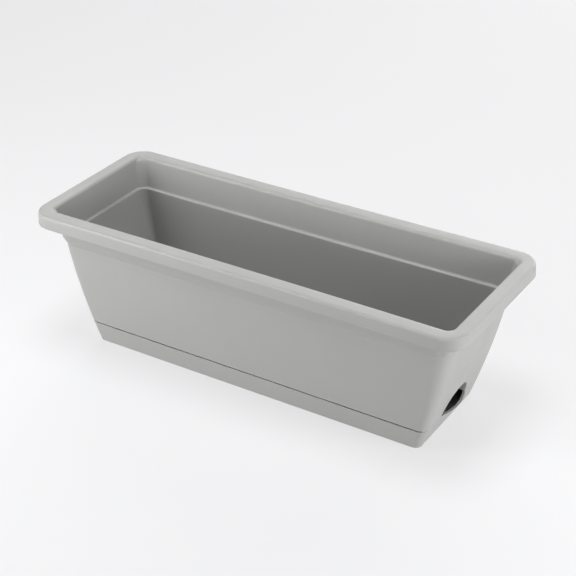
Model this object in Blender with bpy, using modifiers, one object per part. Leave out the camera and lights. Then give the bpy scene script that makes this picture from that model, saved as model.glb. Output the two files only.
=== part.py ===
"""Self-watering window-box planter: a tapered trough standing on a flush reservoir tray.

Water is poured through the arched port at the +X end, where the tray's wall bulges into a
spout and the trough's wall turns in as a domed niche. Four slotted cups hang from the
trough's floor into the tray, and the soil packed in them draws the water up.

Units are metres. +Z is up, +X runs along the planter, and the origin is the centre of the base.
"""

import math

import bmesh
import bpy

# Driving dimensions, at the outer faces
LENGTH = 0.600
WIDTH = 0.229
HEIGHT = 0.1893
WALL = 0.0025
CLEARANCE = 0.0003

# The body's outer face, from the base at z = 0 to the height where the rim's skirt ends
BASE_HALF = (0.2366, 0.0717)
TOP_HALF = (0.2805, 0.0884)
BASE_RADIUS, TOP_RADIUS = 0.0085, 0.0215
INNER_BASE_RADIUS, INNER_TOP_RADIUS = 0.0055, 0.0110
SMALLEST_RADIUS = 0.003
BODY_TOP = 0.1725
BULGE = (0.0035, 0.0028)
BOW = 0.0015

# The rim: a flat top with a skirt turned down round it
RIM_RADIUS = 0.0293
SKIRT_DRAFT = 0.0009
RIM_EDGE = 0.0033
RIM_INNER_EDGE = 0.0044
UNDER_CHAMFER = 0.0020
OPENING_HALF = (0.2804, 0.0926)
OPENING_RADIUS = 0.0100

# The collar under the rim, the ledge inside where it steps in to a thickened wall, and the step outside
LEDGE_Z = 0.1478
JOG_Z = 0.1425
JOG = 0.0036
LEDGE_LIP = 0.0014
LEDGE_RISE = 4
JOG_LOW, JOG_HIGH = 0.1418, 0.1472
COLLAR_RADIUS = 0.0228

# Where the trough meets the tray
TRAY_TOP = 0.0275
TROUGH_BOTTOM = 0.0279
SEAM_RELIEF = 0.0016
SEAM_HALF_LENGTH = 0.2415
FLOOR_UNDER = 0.0330
FLOOR_TOP = FLOOR_UNDER + WALL
FLOOR_FILLET = 0.006

# The tray
TRAY_FLOOR = 0.0035
TRAY_EDGE = 0.0012
FOOT_HEIGHT = 0.0015
FOOT_WIDTH = 0.008
SHELF = 0.0032
UPSTAND = 0.0018
SPOUT = 0.0072
SPOUT_HALF = 0.032
SPOUT_RISE = 1.5

# The niche over the filling port: semi-axes of its inside, centred on the end wall's foot
NICHE_X = 0.246
NICHE_Z = 0.0283
NICHE_AXES = (0.030, 0.0305, 0.0263)

# Posts in the tray, each taking a peg under the trough's floor
POST_X = (-0.180, 0.0, 0.180)
POST_Y = 0.050
POST_RADIUS = 0.0070
POST_BORE = 0.0046
PEG_RADIUS = 0.0040
PEG_LENGTH = 0.0070

# Wick cups, in a row down the middle
CUP_X = (-0.165, -0.055, 0.055, 0.165)
CUP_TOP_RADIUS = 0.0215
CUP_BOTTOM_RADIUS = 0.0180
CUP_WALL = 0.0018
CUP_BOTTOM = 0.0052
FLANGE_RADIUS = 0.0280
FLANGE_THICKNESS = 0.0020
CUP_HOLE_RADIUS = 0.0222
SLOT_WIDTH = 0.0040
SLOT_LOW, SLOT_HIGH = 0.0085, 0.0245
SLOT_PAIRS = 3

# Drain holes in the trough's floor
DRAIN_RADIUS = 0.0030
DRAIN_PLACES = [(x, y) for x in (-0.110, 0.0, 0.110) for y in (-0.030, 0.030)]
DRAIN_PLACES += [(-0.215, -0.030), (-0.215, 0.030)]

# Fineness of the round shapes
CORNER_STEPS = 5
SIDE_STEPS = 4
SPOUT_STEPS = 8
CUP_STEPS = 24
ROUND_STEPS = 16
DRAIN_STEPS = 10
DOME_STEPS = (32, 16)
EXTRA_CUT = 0.020


def clear_scene():
    """Removes the objects that the file opened with."""
    for obj in list(bpy.data.objects):
        bpy.data.objects.remove(obj, do_unlink=True)


def collection(name):
    """A new collection in the scene."""
    made = bpy.data.collections.new(name)
    bpy.context.scene.collection.children.link(made)
    return made


def material(name, colour, roughness):
    """A plain plastic finish."""
    made = bpy.data.materials.new(name)
    made.use_nodes = True
    shader = made.node_tree.nodes["Principled BSDF"]
    shader.inputs["Base Color"].default_value = (*colour, 1.0)
    shader.inputs["Roughness"].default_value = roughness
    shader.inputs["Metallic"].default_value = 0.0
    made.diffuse_color = (*colour, 1.0)
    return made


def add_object(name, mesh, finish, where):
    """Puts a mesh in a collection as an object with one material."""
    obj = bpy.data.objects.new(name, mesh)
    if finish:
        mesh.materials.append(finish)
    where.objects.link(obj)
    mesh.shade_smooth()
    mesh.set_sharp_from_angle(angle=math.radians(32))
    return obj


def boolean(obj, other, operation):
    """Joins another object to this one, or cuts it away."""
    step = obj.modifiers.new(f"{operation.lower()} {other.name}", "BOOLEAN")
    step.operation = operation
    step.solver = "EXACT"
    step.object = other


def as_tool(obj):
    """Marks an object as a cutter or a joined shape, not a piece of its own."""
    obj.hide_render = True
    obj.display_type = "WIRE"
    return obj


def outline(half_x, half_y, radius, bow=0.0, spout=0.0):
    """A rounded rectangle, anticlockwise from the spout's -Y side.

    Its long sides bow in by bow at the middle, and the +X side bulges out by spout.
    """
    points = []
    for step in range(SPOUT_STEPS + 1):
        share = 2 * step / SPOUT_STEPS - 1
        points.append((half_x + spout * (1 - share * share), share * SPOUT_HALF))
    corners = ((1, 1, 0), (-1, 1, 90), (-1, -1, 180), (1, -1, 270))
    for sign_x, sign_y, start in corners:
        centre_x, centre_y = sign_x * (half_x - radius), sign_y * (half_y - radius)
        for step in range(CORNER_STEPS + 1):
            angle = math.radians(start + 90 * step / CORNER_STEPS)
            points.append((centre_x + radius * math.cos(angle), centre_y + radius * math.sin(angle)))
        if start in (0, 180):
            for step in range(1, SIDE_STEPS):
                x = centre_x * (1 - 2 * step / SIDE_STEPS)
                points.append((x, sign_y * half_y))
    straight = half_x - radius
    bowed = []
    for x, y in points:
        share = max(0.0, 1 - (x / straight) ** 2)
        bowed.append((x, y - math.copysign(bow * share, y)))
    return bowed


def loft(name, sections, finish, where):
    """A closed solid through sections, each one (z, outline points), with flat ends."""
    bm = bmesh.new()
    rings = [[bm.verts.new((x, y, z)) for x, y in points] for z, points in sections]
    count = len(rings[0])
    for low, high in zip(rings, rings[1:]):
        for i in range(count):
            j = (i + 1) % count
            bm.faces.new((low[i], low[j], high[j], high[i]))
    bm.faces.new(reversed(rings[0]))
    bm.faces.new(rings[-1])
    bmesh.ops.recalc_face_normals(bm, faces=bm.faces)
    mesh = bpy.data.meshes.new(name)
    bm.to_mesh(mesh)
    bm.free()
    return add_object(name, mesh, finish, where)


def body_sizes(z):
    """Half length, half width, corner radius and bow of the body's outer face at height z."""
    share = z / BODY_TOP
    belly = 4 * share * (1 - share)
    half_x = BASE_HALF[0] + (TOP_HALF[0] - BASE_HALF[0]) * share + BULGE[0] * belly
    half_y = BASE_HALF[1] + (TOP_HALF[1] - BASE_HALF[1]) * share + BULGE[1] * belly
    return half_x, half_y, BASE_RADIUS + (TOP_RADIUS - BASE_RADIUS) * share, BOW * share


def body_section(z, inset=0.0, at=None, spout=0.0):
    """The body's outline at height z, moved in by inset. It is placed at height at, if given."""
    half_x, half_y, radius, bow = body_sizes(z)
    points = outline(half_x - inset, half_y - inset, max(radius - inset, SMALLEST_RADIUS), bow, spout)
    return (z if at is None else at), points


def inside_section(z, inset=WALL, at=None):
    """The body's inner face at height z: its corners are tighter, and its wall thickens up to the ledge."""
    half_x, half_y, _, bow = body_sizes(z)
    inset += LEDGE_LIP * (z / LEDGE_Z) ** LEDGE_RISE
    radius = INNER_BASE_RADIUS + (INNER_TOP_RADIUS - INNER_BASE_RADIUS) * z / BODY_TOP
    return (z if at is None else at), outline(half_x - inset, half_y - inset, radius, bow)


def rim_section(z, inset):
    """The rim's outline, moved in by inset from its widest line."""
    return z, outline(LENGTH / 2 - inset, WIDTH / 2 - inset, RIM_RADIUS - inset, BOW)


def collar_section(z, outset, radius=None):
    """The collar's inner face, drafted from the opening to the ledge, moved out by outset."""
    foot_x, foot_y, _, _ = body_sizes(JOG_Z)
    share = (z - LEDGE_Z) / (HEIGHT - RIM_INNER_EDGE - LEDGE_Z)
    foot = (foot_x + JOG - WALL, foot_y + JOG - WALL, INNER_TOP_RADIUS + JOG / 2)
    top = (*OPENING_HALF, OPENING_RADIUS)
    half_x, half_y, inner_radius = (a + (b - a) * share + outset for a, b in zip(foot, top))
    return z, outline(half_x, half_y, radius or inner_radius, BOW)


def levels(low, high, steps):
    """Evenly spaced heights, both ends included."""
    return [low + (high - low) * step / steps for step in range(steps + 1)]


def quarter(steps):
    """(cos, sin) pairs that turn from 0 to 90 degrees."""
    return [(math.cos(math.pi / 2 * i / steps), math.sin(math.pi / 2 * i / steps)) for i in range(steps + 1)]


def trough_sections():
    """Round the trough's wall: up its outside, over the rim, and down its inside to the floor."""
    hollow_under_rim = HEIGHT - WALL
    skirt_inner = SKIRT_DRAFT + WALL
    sections = [body_section(FLOOR_UNDER, WALL)]
    sections += [body_section(TROUGH_BOTTOM, WALL)]
    sections += [body_section(z) for z in levels(TROUGH_BOTTOM, JOG_LOW, 5)]
    sections += [collar_section(z, WALL, COLLAR_RADIUS) for z in (JOG_HIGH, hollow_under_rim - UNDER_CHAMFER)]
    sections += [collar_section(hollow_under_rim, WALL + UNDER_CHAMFER, COLLAR_RADIUS + UNDER_CHAMFER)]
    sections += [rim_section(hollow_under_rim, skirt_inner + RIM_EDGE - WALL)]
    sections += [rim_section(HEIGHT - RIM_EDGE, skirt_inner)]
    sections += [rim_section(BODY_TOP + WALL / 4, WALL)]
    sections += [rim_section(BODY_TOP, WALL * 0.75)]
    sections += [rim_section(BODY_TOP, WALL * 0.25)]
    sections += [rim_section(BODY_TOP + WALL / 4, 0.0)]
    for out, up in quarter(3):
        sections.append(rim_section(HEIGHT - RIM_EDGE * (1 - up), SKIRT_DRAFT + RIM_EDGE * (1 - out)))
    for up, out in quarter(3):
        sections.append(collar_section(HEIGHT - RIM_INNER_EDGE * (1 - up), RIM_INNER_EDGE * (1 - out)))
    sections += [collar_section(LEDGE_Z, 0.0)]
    sections += [inside_section(z) for z in levels(FLOOR_TOP + FLOOR_FILLET, LEDGE_Z, 5)[::-1]]
    for out, down in quarter(3)[1:]:
        inset = WALL + (FLOOR_FILLET - WALL) * (1 - out)
        sections.append(inside_section(FLOOR_TOP + FLOOR_FILLET * (1 - down), inset))
    return sections


def spout_at(z):
    """How far the tray's end bulges out at height z."""
    return SPOUT * (z / TRAY_TOP) ** SPOUT_RISE


def tray_section(z, inset=0.0, at=None):
    """The tray's outline at height z with its spout, moved in by inset."""
    return body_section(z, inset, at, spout_at(z))


def tray_sections():
    """Round the tray's wall: from its foot up the outside, over the upstand, and down to the floor."""
    sections = [tray_section(FOOT_HEIGHT, FOOT_WIDTH + FOOT_HEIGHT)]
    sections += [tray_section(0.0, FOOT_WIDTH)]
    for out, up in quarter(2)[::-1]:
        sections.append(tray_section(TRAY_EDGE * (1 - up), TRAY_EDGE * (1 - out)))
    sections += [tray_section(z) for z in levels(TRAY_EDGE, TRAY_TOP, 3)]
    sections += [tray_section(TRAY_TOP, SHELF)]
    sections += [tray_section(TRAY_TOP, SHELF, at=FLOOR_UNDER - CLEARANCE)]
    sections += [tray_section(TRAY_TOP, SHELF + UPSTAND, at=FLOOR_UNDER - CLEARANCE)]
    sections += [tray_section(TRAY_TOP, SHELF + UPSTAND, at=TRAY_TOP - UPSTAND)]
    sections += [tray_section(TRAY_TOP - 2 * SHELF, WALL)]
    sections += [tray_section(TRAY_FLOOR + WALL, WALL)]
    sections += [tray_section(TRAY_FLOOR, 2 * WALL)]
    return sections


def cylinder(name, radius, low, high, place, where, steps=ROUND_STEPS):
    """An upright cylinder between two heights."""
    bm = bmesh.new()
    bmesh.ops.create_cone(
        bm, cap_ends=True, segments=steps, radius1=radius, radius2=radius, depth=high - low
    )
    mesh = bpy.data.meshes.new(name)
    bm.to_mesh(mesh)
    bm.free()
    obj = add_object(name, mesh, None, where)
    obj.location = (place[0], place[1], (low + high) / 2)
    return obj


def box(name, low, high, where):
    """A block between two corners."""
    bm = bmesh.new()
    bmesh.ops.create_cube(bm, size=1.0)
    size = [b - a for a, b in zip(low, high)]
    bmesh.ops.scale(bm, vec=size, verts=bm.verts)
    mesh = bpy.data.meshes.new(name)
    bm.to_mesh(mesh)
    bm.free()
    obj = add_object(name, mesh, None, where)
    obj.location = [(a + b) / 2 for a, b in zip(low, high)]
    return obj


def dome(name, grow, where):
    """The niche's ellipsoid, grown by grow on every side."""
    bm = bmesh.new()
    bmesh.ops.create_uvsphere(bm, u_segments=DOME_STEPS[0], v_segments=DOME_STEPS[1], radius=1.0)
    bmesh.ops.scale(bm, vec=[axis + grow for axis in NICHE_AXES], verts=bm.verts)
    mesh = bpy.data.meshes.new(name)
    bm.to_mesh(mesh)
    bm.free()
    obj = add_object(name, mesh, None, where)
    obj.location = (NICHE_X, 0.0, NICHE_Z)
    return obj


def turned(name, profile, steps, finish, where):
    """A solid of revolution about Z from (radius, z) points that run down its outer side."""
    mesh = bpy.data.meshes.new(name)
    edges = [(i, i + 1) for i in range(len(profile) - 1)]
    mesh.from_pydata([(radius, 0.0, z) for radius, z in profile], edges, [])
    obj = add_object(name, mesh, finish, where)
    screw = obj.modifiers.new("turn", "SCREW")
    screw.steps = screw.render_steps = steps
    screw.use_merge_vertices = True
    screw.merge_threshold = 0.0001
    screw.use_smooth_shade = True
    return obj


def make_trough(finish, pieces, tools):
    """The trough with its rim, niche, cup holes, drain holes and locating pegs."""
    trough = loft("planter_trough", trough_sections(), finish, pieces)

    # The niche's shell keeps inside the end wall and above the wall's lower edge.
    shell = as_tool(dome("niche_shell", WALL, tools))
    envelope = loft(
        "niche_envelope",
        [body_section(z, WALL / 2) for z in levels(TROUGH_BOTTOM, 2 * NICHE_Z + EXTRA_CUT, 3)],
        None,
        tools,
    )
    as_tool(envelope)
    boolean(shell, envelope, "INTERSECT")
    boolean(trough, shell, "UNION")

    for i, x in enumerate(POST_X):
        for side in (-1, 1):
            low = FLOOR_UNDER - PEG_LENGTH
            high = FLOOR_UNDER + WALL / 2
            peg = cylinder(f"peg_{i}_{side}", PEG_RADIUS, low, high, (x, side * POST_Y), tools)
            boolean(trough, as_tool(peg), "UNION")

    boolean(trough, as_tool(dome("niche_inside", 0.0, tools)), "DIFFERENCE")
    low, high = FLOOR_UNDER - EXTRA_CUT, FLOOR_TOP + EXTRA_CUT
    for i, x in enumerate(CUP_X):
        hole = cylinder(f"cup_hole_{i}", CUP_HOLE_RADIUS, low, high, (x, 0.0), tools, CUP_STEPS)
        boolean(trough, as_tool(hole), "DIFFERENCE")
    for i, place in enumerate(DRAIN_PLACES):
        hole = cylinder(f"drain_hole_{i}", DRAIN_RADIUS, low, high, place, tools, DRAIN_STEPS)
        boolean(trough, as_tool(hole), "DIFFERENCE")

    # Along each long side the lower edge is lifted, which leaves the shadow gap over the tray.
    for side in (-1, 1):
        near, far = sorted((side * (BASE_HALF[1] - WALL), side * WIDTH))
        relief = box(
            f"seam_relief_{side}",
            (-SEAM_HALF_LENGTH, near, TROUGH_BOTTOM - EXTRA_CUT),
            (SEAM_HALF_LENGTH, far, TROUGH_BOTTOM + SEAM_RELIEF),
            tools,
        )
        boolean(trough, as_tool(relief), "DIFFERENCE")
    return trough


def make_tray(finish, pieces, tools):
    """The reservoir tray with its spout, upstand and hollow posts."""
    tray = loft("reservoir_tray", tray_sections(), finish, pieces)

    # The upstand stops at the port, clear of the niche, and leaves the wall as a plain pouring lip.
    reach = NICHE_AXES[1] + WALL + 4 * CLEARANCE
    port = loft(
        "port_gap",
        [tray_section(TRAY_TOP, SHELF, at=z) for z in (TRAY_TOP - 2 * SHELF, FLOOR_TOP + EXTRA_CUT)],
        None,
        tools,
    )
    as_tool(port)
    mouth = box(
        "port_mouth",
        (NICHE_X - EXTRA_CUT, -reach, 0.0),
        (NICHE_X + EXTRA_CUT, reach, HEIGHT),
        tools,
    )
    boolean(port, as_tool(mouth), "INTERSECT")
    boolean(tray, port, "DIFFERENCE")

    for i, x in enumerate(POST_X):
        for side in (-1, 1):
            place = (x, side * POST_Y)
            top = FLOOR_UNDER - CLEARANCE
            post = cylinder(f"post_{i}_{side}", POST_RADIUS, TRAY_FLOOR - WALL / 2, top, place, tools)
            boolean(tray, as_tool(post), "UNION")
            low = FLOOR_UNDER - PEG_LENGTH - 2 * POST_BORE
            bore = cylinder(f"post_bore_{i}_{side}", POST_BORE, low, top + EXTRA_CUT, place, tools)
            boolean(tray, as_tool(bore), "DIFFERENCE")
    return tray


def make_wick_cup(name, x, finish, pieces, tools):
    """A slotted cup hung by its flange in a hole of the trough's floor."""
    under = FLOOR_TOP + CLEARANCE
    top = under + FLANGE_THICKNESS
    profile = [
        (0.0, CUP_BOTTOM + CUP_WALL),
        (CUP_BOTTOM_RADIUS - CUP_WALL, CUP_BOTTOM + CUP_WALL),
        (CUP_TOP_RADIUS - CUP_WALL, top - CUP_WALL / 2),
        (CUP_TOP_RADIUS - CUP_WALL / 2, top),
        (FLANGE_RADIUS - CUP_WALL / 3, top),
        (FLANGE_RADIUS, top - CUP_WALL / 3),
        (FLANGE_RADIUS, under),
        (CUP_TOP_RADIUS, under),
        (CUP_BOTTOM_RADIUS, CUP_BOTTOM + CUP_WALL / 2),
        (CUP_BOTTOM_RADIUS - CUP_WALL / 2, CUP_BOTTOM),
        (0.0, CUP_BOTTOM),
    ]
    cup = turned(name, profile, CUP_STEPS, finish, pieces)
    cup.location.x = x
    reach = CUP_TOP_RADIUS + EXTRA_CUT / 2
    for i in range(SLOT_PAIRS):
        slot = box(
            f"{name}_slot_{i}",
            (-reach, -SLOT_WIDTH / 2, SLOT_LOW),
            (reach, SLOT_WIDTH / 2, SLOT_HIGH),
            tools,
        )
        slot.location.x = x
        slot.rotation_euler.z = math.pi * (i + 0.5) / SLOT_PAIRS
        boolean(cup, as_tool(slot), "DIFFERENCE")
    return cup


def main():
    clear_scene()
    pieces = collection("self_watering_planter")
    tools = collection("cutters")
    grey = material("grey_plastic", (0.43, 0.43, 0.42), 0.55)
    tray_grey = material("tray_plastic", (0.42, 0.42, 0.42), 0.55)
    dark = material("cup_plastic", (0.06, 0.06, 0.06), 0.6)
    make_trough(grey, pieces, tools)
    make_tray(tray_grey, pieces, tools)
    for i, x in enumerate(CUP_X, start=1):
        make_wick_cup(f"wick_cup_{i}", x, dark, pieces, tools)


main()
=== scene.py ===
import math

import bmesh
import bpy
import numpy as np
from mathutils import Matrix, Vector


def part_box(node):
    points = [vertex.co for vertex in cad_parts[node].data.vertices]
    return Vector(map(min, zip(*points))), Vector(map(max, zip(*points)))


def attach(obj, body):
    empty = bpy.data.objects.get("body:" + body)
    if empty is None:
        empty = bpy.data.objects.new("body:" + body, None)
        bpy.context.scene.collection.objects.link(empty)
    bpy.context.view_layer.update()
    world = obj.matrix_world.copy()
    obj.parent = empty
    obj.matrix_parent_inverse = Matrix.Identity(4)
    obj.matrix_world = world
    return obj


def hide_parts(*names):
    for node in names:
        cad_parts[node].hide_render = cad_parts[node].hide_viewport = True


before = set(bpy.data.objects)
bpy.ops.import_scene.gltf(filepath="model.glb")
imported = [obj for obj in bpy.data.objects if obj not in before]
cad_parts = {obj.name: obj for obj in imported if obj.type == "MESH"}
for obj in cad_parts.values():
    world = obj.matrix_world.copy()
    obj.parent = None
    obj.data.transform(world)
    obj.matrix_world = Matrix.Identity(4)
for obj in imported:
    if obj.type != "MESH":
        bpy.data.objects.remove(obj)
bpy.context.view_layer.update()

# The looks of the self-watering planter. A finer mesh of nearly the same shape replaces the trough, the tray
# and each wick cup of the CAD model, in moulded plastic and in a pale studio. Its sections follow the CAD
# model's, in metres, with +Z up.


TROUGH_LOW, TROUGH_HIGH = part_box("planter_trough")

# Sizes that the frame gives
LENGTH = TROUGH_HIGH.x - TROUGH_LOW.x
WIDTH = TROUGH_HIGH.y - TROUGH_LOW.y
HEIGHT = TROUGH_HIGH.z

# Walls, and the gap between touching pieces
WALL = 0.0025
CLEARANCE = 0.0003

# The body's outer face, from the base at z = 0 to the height where the rim's skirt ends
BASE_HALF = (0.2366, 0.0717)
TOP_HALF = (0.2805, 0.0884)
BASE_RADIUS, TOP_RADIUS = 0.0085, 0.0215
INNER_BASE_RADIUS, INNER_TOP_RADIUS = 0.0055, 0.0110
SMALLEST_RADIUS = 0.003
BODY_TOP = 0.1725
BULGE = (0.0035, 0.0028)
BOW = 0.0015

# The rim: a flat top with a skirt turned down round it
RIM_RADIUS = 0.0293
SKIRT_DRAFT = 0.0009
RIM_EDGE = 0.0033
RIM_INNER_EDGE = 0.0044
OPENING_HALF = (0.2804, 0.0926)
OPENING_RADIUS = 0.0100

# The collar under the rim, the ledge inside where it steps in to a thickened wall, and the step outside
LEDGE_Z = 0.1478
JOG_Z = 0.1425
JOG = 0.0036
LEDGE_LIP = 0.0014
LEDGE_RISE = 4
JOG_LOW, JOG_HIGH = 0.1418, 0.1472

# Where the trough meets the tray
TRAY_TOP = 0.0275
TROUGH_BOTTOM = 0.0279
SEAM_RELIEF = 0.0016
SEAM_HALF_LENGTH = 0.2415
FLOOR_UNDER = 0.0330
FLOOR_TOP = FLOOR_UNDER + WALL
FLOOR_FILLET = 0.006

# The tray
TRAY_FLOOR = 0.0035
TRAY_EDGE = 0.0012
FOOT_HEIGHT = 0.0015
FOOT_WIDTH = 0.008
SHELF = 0.0032
UPSTAND = 0.0018
SPOUT = 0.0072
SPOUT_HALF = 0.032
SPOUT_RISE = 1.5

# The niche over the filling port, and how far below the trough its cutter reaches
NICHE_Z = 0.0283
NICHE_DEPTH = 0.0312
NICHE_HALF_WIDTH = 0.0305
NICHE_RISE = 0.0255
NICHE_LIP = 0.0009
NICHE_FOOT_DROP = 0.012

# Posts and the pegs that they take
POST_X = (-0.180, 0.0, 0.180)
POST_Y = 0.050
POST_RADIUS = 0.0070
POST_BORE = 0.0046
POST_CHAMFER = 0.0006
PEG_RADIUS = 0.0040
PEG_LENGTH = 0.0070
PEG_CHAMFER = 0.001

# Wick cups, in a row down the middle, and the drain holes beside them
CUP_X = (-0.165, -0.055, 0.055, 0.165)
CUP_TOP_RADIUS = 0.0215
CUP_BOTTOM_RADIUS = 0.0180
CUP_WALL = 0.0018
CUP_BOTTOM = 0.0052
FLANGE_RADIUS = 0.0280
FLANGE_THICKNESS = 0.0020
CUP_HOLE_RADIUS = 0.0222
SLOT_WIDTH = 0.0040
SLOT_LOW, SLOT_HIGH = 0.0085, 0.0245
SLOT_REACH = 0.03
SLOT_PAIRS = 3
DRAIN_RADIUS = 0.0030
DRAIN_PLACES = [(x, y) for x in (-0.215, -0.110, 0.0, 0.110) for y in (-0.030, 0.030)]

# How far from its corner each rounding starts
EDGE_ROUNDING = 0.0005
SKIRT_ROUNDING = 0.0007
STEP_ROUNDING = 0.0025
UNDER_RIM_ROUNDING = 0.0040
LEDGE_FOOT_ROUNDING = 0.0020
LEDGE_EDGE_ROUNDING = 0.0008
SHELF_ROUNDING = 0.0003
UPSTAND_ROUNDING = 0.0004
CUP_FOOT_ROUNDING, CUP_NECK_ROUNDING = 0.0012, 0.0004
FLANGE_LOW_ROUNDING, FLANGE_HIGH_ROUNDING = 0.0005, 0.0008
CUP_MOUTH_ROUNDING, CUP_FLOOR_ROUNDING = 0.0014, 0.0015

# Cutters reach this far past what they cut, and floor holes are cut between these heights
CUT_PAST = 0.02
HOLE_LOW, HOLE_HIGH = 0.020, 0.050

# A turned solid's ends stop just short of its axis
AXIS_RADIUS = 0.0001

# Fineness
CORNER_STEPS = 14
SIDE_STEPS = 36
END_STEPS = 24
FILLET_STEPS = 6
WALL_LEVELS = 22
CUP_STEPS = 72
PEG_STEPS = 32
POST_STEPS = 40
DRAIN_STEPS = 24
DOME_STEPS = 20
ARCH_STEPS = 48
TRAY_LEVELS = 6
SHARP_ANGLE = 30


# Shapes

def outline(half_x, half_y, radius, bow=0.0, spout=0.0):
    """A rounded rectangle, anticlockwise from the spout's -Y side, as in the CAD model."""
    points = []
    for step in range(END_STEPS + 1):
        share = 2 * step / END_STEPS - 1
        points.append((half_x + spout * (1 - share * share), share * SPOUT_HALF))
    for sign_x, sign_y, start in ((1, 1, 0), (-1, 1, 90), (-1, -1, 180), (1, -1, 270)):
        centre_x, centre_y = sign_x * (half_x - radius), sign_y * (half_y - radius)
        for step in range(CORNER_STEPS + 1):
            angle = math.radians(start + 90 * step / CORNER_STEPS)
            points.append((centre_x + radius * math.cos(angle), centre_y + radius * math.sin(angle)))
        if start in (0, 180):
            for step in range(1, SIDE_STEPS):
                points.append((centre_x * (1 - 2 * step / SIDE_STEPS), sign_y * half_y))
    straight = half_x - radius
    return [(x, y - math.copysign(bow * max(0.0, 1 - (x / straight) ** 2), y)) for x, y in points]


def circle(radius, centre=(0.0, 0.0), steps=CUP_STEPS):
    """Points round a circle, anticlockwise."""
    turns = [2 * math.pi * step / steps for step in range(steps)]
    return [(centre[0] + radius * math.cos(a), centre[1] + radius * math.sin(a)) for a in turns]


def rounded(keys):
    """A path through keys, each one (vector, rounding distance), with its corners rounded off."""
    path = []
    for i, (point, reach) in enumerate(keys):
        point = np.array(point, float)
        if reach <= 0 or i in (0, len(keys) - 1):
            path.append(point)
            continue
        before = np.array(keys[i - 1][0], float) - point
        after = np.array(keys[i + 1][0], float) - point
        start = point + before * min(0.49, reach / np.linalg.norm(before[:2]))
        end = point + after * min(0.49, reach / np.linalg.norm(after[:2]))
        for step in range(FILLET_STEPS + 1):
            t = step / FILLET_STEPS
            path.append((1 - t) ** 2 * start + 2 * t * (1 - t) * point + t * t * end)
    return path


def mesh_from(name, rings):
    """A closed solid through rings of 3-D points, with flat ends."""
    bm = bmesh.new()
    loops = [[bm.verts.new(point) for point in ring] for ring in rings]
    count = len(loops[0])
    for low, high in zip(loops, loops[1:]):
        for i in range(count):
            j = (i + 1) % count
            bm.faces.new((low[i], low[j], high[j], high[i]))
    bm.faces.new(reversed(loops[0]))
    bm.faces.new(loops[-1])
    bmesh.ops.recalc_face_normals(bm, faces=bm.faces)
    mesh = bpy.data.meshes.new(name)
    bm.to_mesh(mesh)
    bm.free()
    obj = bpy.data.objects.new(name, mesh)
    bpy.context.scene.collection.objects.link(obj)
    return obj


def loft(name, path):
    """A solid from path vectors (z, half x, half y, radius, bow[, spout])."""
    rings = [[(x, y, vector[0]) for x, y in outline(*vector[1:])] for vector in path]
    return mesh_from(name, rings)


def turned(name, profile, centre=(0.0, 0.0), steps=CUP_STEPS):
    """A solid of revolution about an upright axis, from (z, radius) points."""
    rings = [[(x, y, z) for x, y in circle(radius, centre, steps)] for z, radius in profile]
    return mesh_from(name, rings)


def cylinder(name, radius, low, high, centre, steps):
    """An upright cylinder between two heights."""
    return turned(name, [(low, radius), (high, radius)], centre, steps)


def block(name, low, high):
    """A box between two corners."""
    corners = [(low[0], low[1]), (high[0], low[1]), (high[0], high[1]), (low[0], high[1])]
    return mesh_from(name, [[(x, y, z) for x, y in corners] for z in (low[2], high[2])])


def carve(obj, steps):
    """Applies Boolean steps, each one (operation, tool object), and removes the tools."""
    for operation, tool in steps:
        modifier = obj.modifiers.new(tool.name, "BOOLEAN")
        modifier.operation = operation
        modifier.solver = "EXACT"
        modifier.object = tool
    shape = bpy.data.meshes.new_from_object(obj.evaluated_get(bpy.context.evaluated_depsgraph_get()))
    obj.modifiers.clear()
    obj.data = shape
    for _, tool in steps:
        bpy.data.objects.remove(tool, do_unlink=True)


def smooth(obj):
    """Smooth shading, with the sharp edges left crisp."""
    obj.data.shade_smooth()
    obj.data.set_sharp_from_angle(angle=math.radians(SHARP_ANGLE))


# The planter's sections

def body(z, inset=0.0, at=None):
    """The body's outline at height z, moved in by inset, as a path vector; at gives it another height."""
    share = z / BODY_TOP
    belly = 4 * share * (1 - share)
    half_x = BASE_HALF[0] + (TOP_HALF[0] - BASE_HALF[0]) * share + BULGE[0] * belly
    half_y = BASE_HALF[1] + (TOP_HALF[1] - BASE_HALF[1]) * share + BULGE[1] * belly
    radius = BASE_RADIUS + (TOP_RADIUS - BASE_RADIUS) * share
    height = z if at is None else at
    return height, half_x - inset, half_y - inset, max(radius - inset, SMALLEST_RADIUS), BOW * share


def inside(z, inset=WALL):
    """The body's inner face at height z: its corners are tighter, and its wall thickens up to the ledge."""
    thicker = LEDGE_LIP * (z / LEDGE_Z) ** LEDGE_RISE
    height, half_x, half_y, _, bow = body(z, inset + thicker)
    radius = INNER_BASE_RADIUS + (INNER_TOP_RADIUS - INNER_BASE_RADIUS) * z / BODY_TOP
    return height, half_x, half_y, radius, bow


def rim(z, inset):
    """The rim's outline, moved in by inset from its widest line."""
    return z, LENGTH / 2 - inset, WIDTH / 2 - inset, RIM_RADIUS - inset, BOW


def collar(z, outset):
    """The collar's inner face at height z, moved out by outset."""
    _, foot_x, foot_y, _, _ = body(JOG_Z)
    share = (z - LEDGE_Z) / (HEIGHT - RIM_INNER_EDGE - LEDGE_Z)
    foot = (foot_x + JOG - WALL, foot_y + JOG - WALL, INNER_TOP_RADIUS + JOG / 2)
    top = (*OPENING_HALF, OPENING_RADIUS)
    half_x, half_y, radius = (a + (b - a) * share + outset for a, b in zip(foot, top))
    return z, half_x, half_y, radius, BOW


def collar_outside(z):
    """The collar's outer face, whose corners keep the body's wider radius."""
    height, half_x, half_y, _, bow = collar(z, WALL)
    return height, half_x, half_y, body(JOG_Z)[3] + JOG, bow


def heights(low, high, count):
    """Evenly spaced heights, both ends included."""
    return [low + (high - low) * step / count for step in range(count + 1)]


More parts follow.
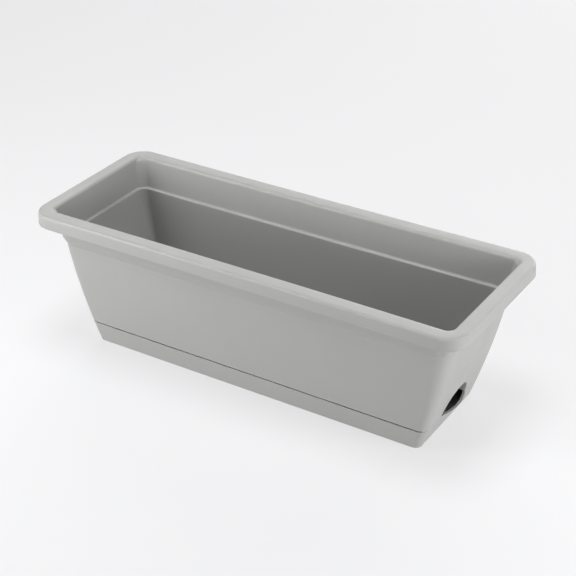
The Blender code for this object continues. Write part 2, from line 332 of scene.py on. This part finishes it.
def trough_path():
    """Up the trough's outside, over the rim, and down its inside to the floor."""
    hollow = HEIGHT - WALL
    skirt_inner = SKIRT_DRAFT + WALL
    keys = [(body(FLOOR_UNDER, WALL), 0)]
    keys += [(body(TROUGH_BOTTOM, WALL), EDGE_ROUNDING)]
    keys += [(body(TROUGH_BOTTOM), EDGE_ROUNDING)]
    keys += [(body(z), 0) for z in heights(TROUGH_BOTTOM, JOG_LOW, WALL_LEVELS)[1:-1]]
    keys += [(body(JOG_LOW), STEP_ROUNDING)]
    keys += [(collar_outside(JOG_HIGH), STEP_ROUNDING)]
    keys += [(collar_outside(hollow), UNDER_RIM_ROUNDING)]
    keys += [(rim(hollow, skirt_inner), RIM_EDGE - WALL)]
    keys += [(rim(BODY_TOP, WALL), EDGE_ROUNDING)]
    keys += [(rim(BODY_TOP, 0.0), SKIRT_ROUNDING)]
    keys += [(rim(HEIGHT, SKIRT_DRAFT), RIM_EDGE)]
    keys += [(collar(HEIGHT, 0.0), RIM_INNER_EDGE)]
    keys += [(collar(LEDGE_Z, 0.0), LEDGE_FOOT_ROUNDING)]
    keys += [(inside(LEDGE_Z), LEDGE_EDGE_ROUNDING)]
    keys += [(inside(z), 0) for z in heights(FLOOR_TOP + 2 * FLOOR_FILLET, JOG_Z, WALL_LEVELS)[::-1]]
    keys += [(inside(FLOOR_TOP), FLOOR_FILLET)]
    keys += [(inside(FLOOR_TOP, WALL + FLOOR_FILLET), 0)]
    return rounded(keys)


def niche(name, grow, start, lip=0.0):
    """The niche's half dome, cut in square to the sloping end wall from a start depth.

    It is grown by grow, and its mouth flares by a rounded lip.
    """
    depth, rise, half = NICHE_DEPTH + grow, NICHE_RISE + grow, NICHE_HALF_WIDTH + grow
    foot = TROUGH_BOTTOM if grow else TROUGH_BOTTOM - NICHE_FOOT_DROP
    stations = [(start, 1.0, lip)]
    if lip:
        for step in range(1, FILLET_STEPS + 1):
            turn = math.pi / 2 * step / FILLET_STEPS
            stations.append((lip * (1 - math.cos(turn)), 1.0, lip * (1 - math.sin(turn))))
    begin = stations[-1][0]
    for step in range(1, DOME_STEPS):
        turn = math.pi / 2 * step / DOME_STEPS
        stations.append((begin + (depth - begin) * math.sin(turn), math.cos(turn), 0.0))
    rings = []
    for inward, scale, flare in stations:
        reach = half * scale + flare
        ring = []
        for step in range(ARCH_STEPS + 1):
            angle = math.pi * step / ARCH_STEPS
            z = NICHE_Z + (rise * scale + flare) * math.sin(angle)
            ring.append((body(z)[1] - inward, reach * math.cos(angle), z))
        for y in (-reach, reach):
            ring.append((body(NICHE_Z)[1] - inward, y, foot))
        rings.append(ring)
    return mesh_from(name, rings)


def make_trough():
    """The trough with its niche, floor holes, pegs and the lifted lower edge of its long sides."""
    trough = loft("trough_shell", trough_path())
    steps = [("UNION", niche("hood", WALL, WALL / 2))]
    for x in POST_X:
        for side in (-1, 1):
            tip = FLOOR_UNDER - PEG_LENGTH
            profile = [(FLOOR_UNDER + WALL / 2, PEG_RADIUS), (tip + PEG_CHAMFER, PEG_RADIUS)]
            profile += [(tip, PEG_RADIUS - PEG_CHAMFER)]
            steps.append(("UNION", turned("peg", profile, (x, side * POST_Y), PEG_STEPS)))
    steps.append(("DIFFERENCE", niche("port", 0.0, -CUT_PAST, NICHE_LIP)))
    for x in CUP_X:
        hole = cylinder("cup_hole", CUP_HOLE_RADIUS, HOLE_LOW, HOLE_HIGH, (x, 0.0), CUP_STEPS)
        steps.append(("DIFFERENCE", hole))
    for place in DRAIN_PLACES:
        drain = cylinder("drain", DRAIN_RADIUS, HOLE_LOW, HOLE_HIGH, place, DRAIN_STEPS)
        steps.append(("DIFFERENCE", drain))
    for side in (-1, 1):
        near, far = sorted((side * (BASE_HALF[1] - WALL), side * WIDTH))
        low = (-SEAM_HALF_LENGTH, near, 0.0)
        high = (SEAM_HALF_LENGTH, far, TROUGH_BOTTOM + SEAM_RELIEF)
        steps.append(("DIFFERENCE", block("seam", low, high)))
    carve(trough, steps)
    smooth(trough)
    return trough


def tray(z, inset=0.0, at=None):
    """The tray's outline at height z with its spout, moved in by inset."""
    return *body(z, inset, at), SPOUT * (z / TRAY_TOP) ** SPOUT_RISE


def tray_path():
    """Up the tray's outside from its foot, over the upstand, and down to its floor."""
    top = FLOOR_UNDER - CLEARANCE
    keys = [(tray(FOOT_HEIGHT, FOOT_WIDTH + FOOT_HEIGHT), 0)]
    keys += [(tray(0.0, FOOT_WIDTH), EDGE_ROUNDING)]
    keys += [(tray(0.0), TRAY_EDGE)]
    keys += [(tray(z), 0) for z in heights(3 * TRAY_EDGE, TRAY_TOP - 4 * EDGE_ROUNDING, TRAY_LEVELS)]
    keys += [(tray(TRAY_TOP), EDGE_ROUNDING)]
    keys += [(tray(TRAY_TOP, SHELF), SHELF_ROUNDING)]
    keys += [(tray(TRAY_TOP, SHELF, at=top), UPSTAND_ROUNDING)]
    keys += [(tray(TRAY_TOP, SHELF + UPSTAND, at=top), UPSTAND_ROUNDING)]
    keys += [(tray(TRAY_TOP, SHELF + UPSTAND, at=TRAY_TOP - UPSTAND), 0)]
    keys += [(tray(TRAY_TOP - 2 * SHELF, WALL), 0)]
    keys += [(tray(TRAY_FLOOR, WALL), 2 * WALL)]
    keys += [(tray(TRAY_FLOOR, 4 * WALL), 0)]
    return rounded(keys)


def make_tray():
    """The reservoir tray with its pouring lip, upstand and hollow posts."""
    obj = loft("reservoir_tray_shell", tray_path())
    gap = [tray(TRAY_TOP, SHELF, at=z) for z in (TRAY_TOP - 2 * SHELF, FLOOR_TOP + CUT_PAST)]
    mouth = loft("port_gap", gap)
    reach = NICHE_HALF_WIDTH + WALL + 4 * CLEARANCE
    end = body(TRAY_TOP)[1]
    span = block("port_mouth", (end - CUT_PAST, -reach, 0.0), (end + CUT_PAST, reach, HEIGHT))
    carve(mouth, [("INTERSECT", span)])
    steps = [("DIFFERENCE", mouth)]
    top = FLOOR_UNDER - CLEARANCE
    for x in POST_X:
        for side in (-1, 1):
            place = (x, side * POST_Y)
            profile = [(TRAY_FLOOR - WALL / 2, POST_RADIUS), (top - POST_CHAMFER, POST_RADIUS)]
            profile += [(top, POST_RADIUS - POST_CHAMFER)]
            steps.append(("UNION", turned("post", profile, place, POST_STEPS)))
            low = FLOOR_UNDER - PEG_LENGTH - 2 * POST_BORE
            bore = cylinder("bore", POST_BORE, low, top + CUT_PAST / 2, place, POST_STEPS)
            steps.append(("DIFFERENCE", bore))
    carve(obj, steps)
    smooth(obj)
    return obj


def make_cup(number, x):
    """A slotted cup hung by its flange in the trough's floor."""
    under = FLOOR_TOP + CLEARANCE
    top = under + FLANGE_THICKNESS
    floor = CUP_BOTTOM + CUP_WALL
    keys = [((CUP_BOTTOM, AXIS_RADIUS), 0)]
    keys += [((CUP_BOTTOM, CUP_BOTTOM_RADIUS), CUP_FOOT_ROUNDING)]
    keys += [((under, CUP_TOP_RADIUS), CUP_NECK_ROUNDING)]
    keys += [((under, FLANGE_RADIUS), FLANGE_LOW_ROUNDING)]
    keys += [((top, FLANGE_RADIUS), FLANGE_HIGH_ROUNDING)]
    keys += [((top, CUP_TOP_RADIUS - CUP_WALL), CUP_MOUTH_ROUNDING)]
    keys += [((floor, CUP_BOTTOM_RADIUS - CUP_WALL), CUP_FLOOR_ROUNDING)]
    keys += [((floor, AXIS_RADIUS), 0)]
    cup = turned(f"slotted_cup_{number}", rounded(keys), (x, 0.0))
    steps = []
    for pair in range(SLOT_PAIRS):
        low, high = (-SLOT_REACH, -SLOT_WIDTH / 2, SLOT_LOW), (SLOT_REACH, SLOT_WIDTH / 2, SLOT_HIGH)
        slot = block("slot", low, high)
        turn = Matrix.Rotation(math.pi * (pair + 0.5) / SLOT_PAIRS, 4, "Z")
        slot.data.transform(Matrix.Translation((x, 0.0, 0.0)) @ turn)
        steps.append(("DIFFERENCE", slot))
    carve(cup, steps)
    smooth(cup)
    return cup


# Materials

# How fine each pattern of the plastic is: noise cells to the metre
CLOUDS, SPECKLE, RUBS, SMEARS, RIPPLES, GRAIN = 9.0, 900.0, 55.0, 22.0, 140.0, 2600.0

# The pointiness at which a convex edge starts to be painted lighter as a painted edge highlight and takes it
# fully, and the most that the painted highlight shows
HIGHLIGHT_START, HIGHLIGHT_FULL = 0.515, 0.56
EDGE_HIGHLIGHT = 0.35

PLASTIC_IOR = 1.49

# The floor's two faint tones, and how strongly it glows
FLOOR_DARK, FLOOR_LIGHT = (0.200, 0.200, 0.204), (0.206, 0.206, 0.210)
FLOOR_GLOW = 0.62


class Nodes:
    """A short way to write a material's node tree."""

    def __init__(self, name):
        self.material = bpy.data.materials.new(name)
        self.material.use_nodes = True
        self.tree = self.material.node_tree
        self.shader = self.tree.nodes["Principled BSDF"]
        self.place = self.add("ShaderNodeTexCoord").outputs["Object"]

    def add(self, kind, **values):
        node = self.tree.nodes.new(kind)
        for key, value in values.items():
            setattr(node, key, value)
        return node

    def link(self, source, target):
        self.tree.links.new(source, target)

    def noise(self, scale, detail=3.0, roughness=0.5, distortion=0.0):
        node = self.add("ShaderNodeTexNoise")
        node.inputs["Scale"].default_value = scale
        node.inputs["Detail"].default_value = detail
        node.inputs["Roughness"].default_value = roughness
        node.inputs["Distortion"].default_value = distortion
        self.link(self.place, node.inputs["Vector"])
        return node.outputs["Fac"]

    def ramp(self, source, low, high, start=0.0, end=1.0):
        """Maps source from start..end to low..high, clamped."""
        node = self.add("ShaderNodeMapRange")
        node.inputs["From Min"].default_value = start
        node.inputs["From Max"].default_value = end
        node.inputs["To Min"].default_value = low
        node.inputs["To Max"].default_value = high
        self.link(source, node.inputs["Value"])
        return node.outputs["Result"]

    def math(self, operation, a, b):
        node = self.add("ShaderNodeMath", operation=operation)
        for socket, value in zip(node.inputs, (a, b)):
            if isinstance(value, (int, float)):
                socket.default_value = value
            else:
                self.link(value, socket)
        return node.outputs[0]

    def mix(self, factor, a, b):
        node = self.add("ShaderNodeMix", data_type="RGBA")
        self.link(factor, node.inputs["Factor"])
        for socket, value in ((node.inputs["A"], a), (node.inputs["B"], b)):
            if isinstance(value, tuple):
                socket.default_value = (*value, 1.0)
            else:
                self.link(value, socket)
        return node.outputs["Result"]

    def bump(self, height, distance, strength, under=None):
        node = self.add("ShaderNodeBump")
        node.inputs["Distance"].default_value = distance
        node.inputs["Strength"].default_value = strength
        self.link(height, node.inputs["Height"])
        if under:
            self.link(under, node.inputs["Normal"])
        return node.outputs["Normal"]


def moulded_plastic(name, colour, dark, light, roughness):
    """Matte injection-moulded plastic: fine spark grain, faint flow clouds, and a painted edge highlight,
    lighter and glossier, on convex edges in noise patches.
    """
    n = Nodes(name)
    clouds = n.ramp(n.noise(CLOUDS, 4.0, 0.55, 0.4), 0.0, 1.0, 0.3, 0.7)
    base = n.mix(clouds, dark, colour)
    speckle = n.ramp(n.noise(SPECKLE, 2.0, 0.5), 0.0, 0.18, 0.55, 0.75)
    base = n.mix(speckle, base, light)
    # Convex edges, found by pointiness, are painted lighter and made glossier in noise patches: a painted
    # edge highlight.
    pointiness = n.add("ShaderNodeNewGeometry").outputs["Pointiness"]
    edge = n.ramp(pointiness, 0.0, 1.0, HIGHLIGHT_START, HIGHLIGHT_FULL)
    highlight_patches = n.ramp(n.noise(RUBS, 5.0, 0.65), 0.0, 1.0, 0.45, 0.72)
    painted_edge_highlight = n.math("MULTIPLY", n.math("MULTIPLY", edge, highlight_patches), EDGE_HIGHLIGHT)
    base = n.mix(painted_edge_highlight, base, light)
    n.link(base, n.shader.inputs["Base Color"])
    smear = n.ramp(n.noise(SMEARS, 5.0, 0.6, 0.8), roughness - 0.05, roughness + 0.07, 0.3, 0.7)
    edge_gloss = n.math("MULTIPLY", painted_edge_highlight, 0.25)
    n.link(n.math("SUBTRACT", smear, edge_gloss), n.shader.inputs["Roughness"])
    ripples = n.bump(n.noise(RIPPLES, 2.0, 0.5), 0.0004, 0.10)
    grain = n.bump(n.noise(GRAIN, 2.0, 0.6), 0.00012, 0.28, ripples)
    n.link(grain, n.shader.inputs["Normal"])
    n.shader.inputs["IOR"].default_value = PLASTIC_IOR
    n.shader.inputs["Specular IOR Level"].default_value = 0.5
    return n.material


def floor_material():
    """A pale studio floor that glows a little, like a light table."""
    n = Nodes("studio_sweep")
    clouds = n.ramp(n.noise(1.2, 2.0), 0.0, 1.0, 0.3, 0.7)
    n.link(n.mix(clouds, FLOOR_DARK, FLOOR_LIGHT), n.shader.inputs["Base Color"])
    n.shader.inputs["Roughness"].default_value = 0.8
    n.shader.inputs["Specular IOR Level"].default_value = 0.2
    n.shader.inputs["Emission Color"].default_value = (0.99, 0.99, 1.0, 1.0)
    n.shader.inputs["Emission Strength"].default_value = FLOOR_GLOW
    return n.material


def finish_piece(obj, material, body_name, node):
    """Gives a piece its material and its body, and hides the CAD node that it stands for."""
    obj.data.materials.clear()
    obj.data.materials.append(material)
    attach(obj, body_name)
    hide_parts(node)


# Studio

FLOOR_HALF = 6.0
LIT_POINT = Vector((0.0, 0.0, 0.1))

# Softboxes: azimuth and elevation in degrees, distance, size in metres, and power in watts
SOFTBOXES = {
    "top_softbox": (0, 88, 2.4, (1.0, 1.0), 39.0),
    "back_softbox": (182, 12, 4.8, (3.2, 1.6), 152.0),
    "back_left_softbox": (214, 31, 4.8, (2.8, 2.0), 58.0),
    "front_softbox": (40, 8, 4.8, (2.4, 1.2), 62.0),
    "right_softbox": (90, 14, 1.15, (0.5, 0.8), 8.4),
    "left_softbox": (315, 24, 1.15, (0.5, 1.1), 12.3),
}

# The room's walls glow fully up to the first elevation, and not at all above the second (degrees)
WALL_GLOW = 0.5
GLOW_FULL, GLOW_GONE = 3, 14

# The camera: degrees round from the front towards +X, degrees up, roll, place in metres and lens in mm
CAMERA_ANGLES = (32.17, 30.13, -0.5)
CAMERA_PLACE = Vector((0.85605, -1.34051, 1.03592))
CAMERA_LENS = 92.34
CAMERA_SENSOR = 36.0


def softbox(name, azimuth, elevation, distance, size, power):
    """A rectangular softbox that points at the planter; azimuth 0 is in front of it and 90 off its +X end."""
    turn, rise = math.radians(azimuth), math.radians(elevation)
    out = Vector((math.sin(turn) * math.cos(rise), -math.cos(turn) * math.cos(rise), math.sin(rise)))
    data = bpy.data.lights.new(name, "AREA")
    data.shape = "RECTANGLE"
    data.size, data.size_y = size
    data.energy = power
    light = bpy.data.objects.new(name, data)
    light.location = LIT_POINT + distance * out
    light.rotation_euler = out.to_track_quat("Z", "Y").to_euler()
    bpy.context.scene.collection.objects.link(light)


def studio_world():
    """A dark room whose walls are pale near the floor, so that a low view has a plain backdrop."""
    world = bpy.data.worlds.new("studio_world")
    world.use_nodes = True
    tree = world.node_tree
    background = tree.nodes["Background"]
    background.inputs["Color"].default_value = (0.99, 0.99, 1.0, 1.0)
    direction = tree.nodes.new("ShaderNodeTexCoord").outputs["Generated"]
    height = tree.nodes.new("ShaderNodeSeparateXYZ")
    tree.links.new(direction, height.inputs["Vector"])
    glow = tree.nodes.new("ShaderNodeMapRange")
    glow.interpolation_type = "SMOOTHSTEP"
    glow.inputs["From Min"].default_value = math.sin(math.radians(GLOW_FULL))
    glow.inputs["From Max"].default_value = math.sin(math.radians(GLOW_GONE))
    glow.inputs["To Min"].default_value = WALL_GLOW
    glow.inputs["To Max"].default_value = 0.0
    tree.links.new(height.outputs["Z"], glow.inputs["Value"])
    tree.links.new(glow.outputs["Result"], background.inputs["Strength"])
    return world


def studio():
    """A pale floor in a dark room, with soft light from all round."""
    bm = bmesh.new()
    bmesh.ops.create_grid(bm, x_segments=8, y_segments=8, size=FLOOR_HALF)
    mesh = bpy.data.meshes.new("studio_floor")
    bm.to_mesh(mesh)
    bm.free()
    floor = bpy.data.objects.new("studio_floor", mesh)
    mesh.materials.append(floor_material())
    bpy.context.scene.collection.objects.link(floor)
    bpy.context.scene.world = studio_world()
    bpy.context.scene.view_settings.view_transform = "Standard"
    for name, settings in SOFTBOXES.items():
        softbox(name, *settings)


def camera():
    """The viewpoint: round to the +X end, looking down."""
    azimuth, elevation, roll = (math.radians(angle) for angle in CAMERA_ANGLES)
    back = Vector((
        math.sin(azimuth) * math.cos(elevation),
        -math.cos(azimuth) * math.cos(elevation),
        math.sin(elevation),
    ))
    right = (-back).cross(Vector((0.0, 0.0, 1.0))).normalized()
    up = right.cross(-back)
    turned_right = math.cos(roll) * right + math.sin(roll) * up
    turned_up = -math.sin(roll) * right + math.cos(roll) * up
    data = bpy.data.cameras.new("camera")
    data.lens = CAMERA_LENS
    data.sensor_width = CAMERA_SENSOR
    obj = bpy.data.objects.new("camera", data)
    matrix = Matrix((turned_right, turned_up, back)).transposed().to_4x4()
    matrix.translation = CAMERA_PLACE
    obj.matrix_world = matrix
    bpy.context.scene.collection.objects.link(obj)
    bpy.context.scene.camera = obj


camera()
studio()

# A pale grey for the speckle and for the painted edge highlight
speckle_and_highlight_grey = (0.40, 0.40, 0.39)
grey = moulded_plastic("trough_plastic", (0.311, 0.311, 0.303), (0.301, 0.301, 0.294), speckle_and_highlight_grey, 0.50)
tray_grey = moulded_plastic("tray_plastic", (0.309, 0.309, 0.303), (0.299, 0.299, 0.293), speckle_and_highlight_grey, 0.50)
# A lighter black for the speckle and for the painted edge highlight
speckle_and_highlight_black = (0.09, 0.09, 0.09)
black = moulded_plastic("cup_plastic", (0.028, 0.028, 0.029), (0.020, 0.020, 0.021), speckle_and_highlight_black, 0.55)

finish_piece(make_trough(), grey, "trough", "planter_trough")
finish_piece(make_tray(), tray_grey, "tray", "reservoir_tray")
for number, x in enumerate(CUP_X, start=1):
    finish_piece(make_cup(number, x), black, f"cup_{number}", f"wick_cup_{number}")
